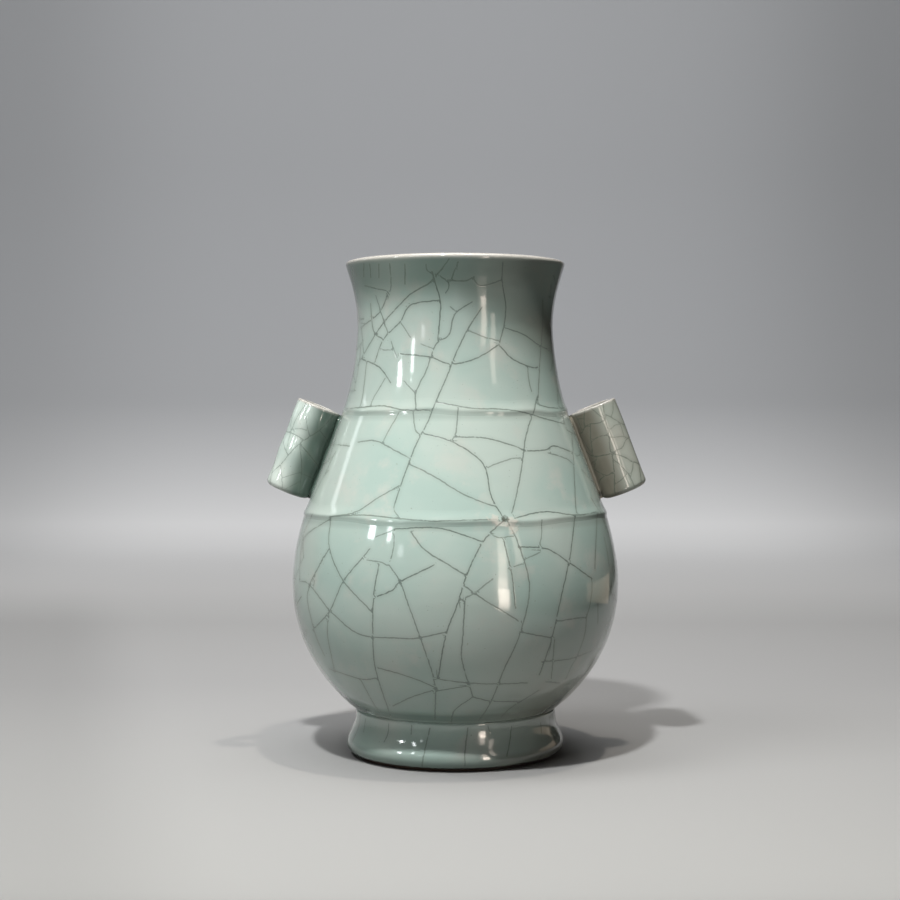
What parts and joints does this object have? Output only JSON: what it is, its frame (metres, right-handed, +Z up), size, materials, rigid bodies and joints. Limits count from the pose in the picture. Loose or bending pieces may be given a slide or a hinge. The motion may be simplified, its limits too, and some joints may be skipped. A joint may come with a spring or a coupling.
{
  "type": "arrow vase",
  "caption": "Crackle-glazed stoneware vase with a flared neck, a sloping shoulder with tubular ears, a round belly and a splayed foot; stands free and holds arrows or stems.",
  "frame": {"origin": "middle of the foot's standing face", "axes": "+Z up along the vase's axis, +X towards the right ear as seen from the front, -Y towards the viewer"},
  "size_m": [0.1786, 0.1542, 0.233],
  "materials": {
    "neck": "gloss grey-green crackle glaze",
    "shoulder": "gloss grey-green crackle glaze",
    "belly": "gloss grey-green crackle glaze",
    "foot_ring": "gloss grey-green crackle glaze",
    "upper_string": "gloss grey-green crackle glaze",
    "lower_string": "gloss grey-green crackle glaze",
    "right_ear": "gloss grey-green crackle glaze",
    "left_ear": "gloss grey-green crackle glaze",
    "upper_seam_slip": "bare fired slip",
    "lower_seam_slip": "bare fired slip",
    "foot_seam_slip": "bare fired slip",
    "right_ear_luting": "bare fired slip",
    "left_ear_luting": "bare fired slip"
  },
  "bodies": {
    "root": {"neck": "neck", "shoulder": "shoulder", "belly": "belly", "foot_ring": "foot_ring", "upper_string": "upper_string", "lower_string": "lower_string", "right_ear": "right_ear", "left_ear": "left_ear", "upper_seam_slip": "upper_seam_slip", "lower_seam_slip": "lower_seam_slip", "foot_seam_slip": "foot_seam_slip", "right_ear_luting": "right_ear_luting", "left_ear_luting": "left_ear_luting"}
  },
  "joints": []
}
